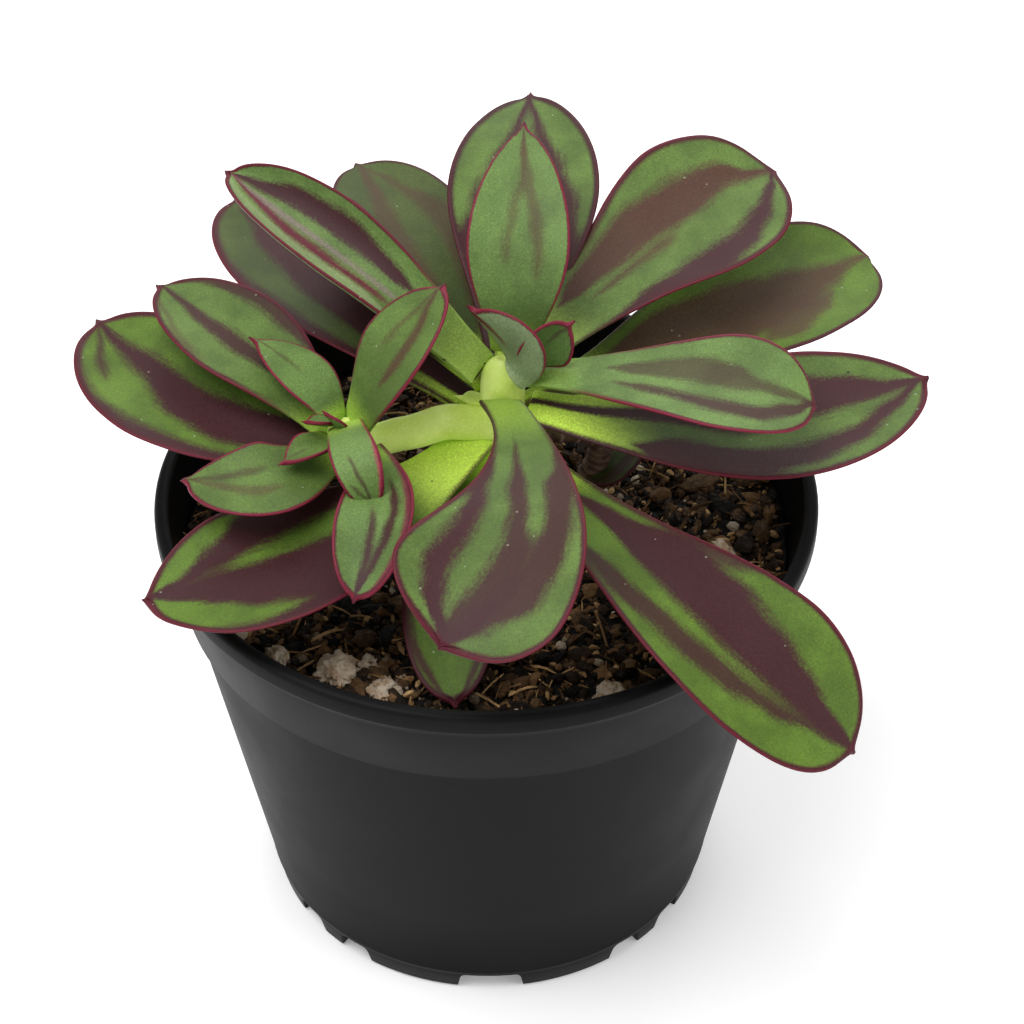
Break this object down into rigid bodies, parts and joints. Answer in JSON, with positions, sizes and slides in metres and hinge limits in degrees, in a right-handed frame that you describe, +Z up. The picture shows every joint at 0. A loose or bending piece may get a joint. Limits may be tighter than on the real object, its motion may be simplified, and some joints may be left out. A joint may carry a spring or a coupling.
{
  "type": "potted echeveria",
  "caption": "Echeveria with striped, red-edged leaves in a large and a small side rosette on a short stem, in a black plastic nursery pot of bark and pumice mix.",
  "frame": {"origin": "on the ground, under the middle of the whole outline of plant and pot; the pot's own axis is 2.5 mm towards -X", "axes": "+Z up out of the pot; the long hanging leaf points to +X and -Y, and the side rosette is towards -X"},
  "size_m": [0.1395, 0.1231, 0.1316],
  "materials": {
    "pot_plastic": "satin",
    "potting_mix": "rough",
    "pumice": "rough",
    "bark": "matt",
    "green_stem": "satin",
    "leaf": "satin",
    "young_leaf": "satin"
  },
  "bodies": {
    "root": {"pot": "pot_plastic", "potting_mix": "potting_mix", "grain_01": "pumice", "grain_02": "pumice", "grain_03": "pumice", "grain_04": "pumice", "grain_05": "pumice", "grain_06": "pumice", "grain_07": "pumice", "grain_08": "pumice", "grain_09": "pumice", "grain_10": "pumice", "grain_11": "pumice", "grain_12": "pumice", "stem_woody": "bark", "stem_crown": "green_stem", "stem_branch": "green_stem", "leaf_right_front": "leaf", "leaf_front_low": "leaf", "leaf_right_back": "leaf", "leaf_left_front": "leaf", "leaf_left_back": "leaf", "leaf_back_left": "leaf", "leaf_right_low": "leaf", "leaf_back": "leaf", "leaf_front": "leaf", "leaf_back_sliver": "leaf", "leaf_left_folded": "leaf", "leaf_right_near": "leaf", "leaf_right_high": "leaf", "leaf_back_upright": "leaf", "leaf_young_front": "young_leaf", "leaf_young_right": "young_leaf", "leaf_low_sliver": "leaf", "side_leaf_left_low": "leaf", "side_leaf_left": "leaf", "side_leaf_near_left": "young_leaf", "side_leaf_hanging": "young_leaf", "side_leaf_back": "young_leaf", "side_leaf_upright": "young_leaf", "side_leaf_front": "young_leaf", "side_leaf_small": "young_leaf", "side_leaf_tiny_tall": "young_leaf", "side_leaf_tiny_low": "young_leaf", "bract_main": "green_stem", "bract_side": "green_stem"}
  },
  "joints": []
}
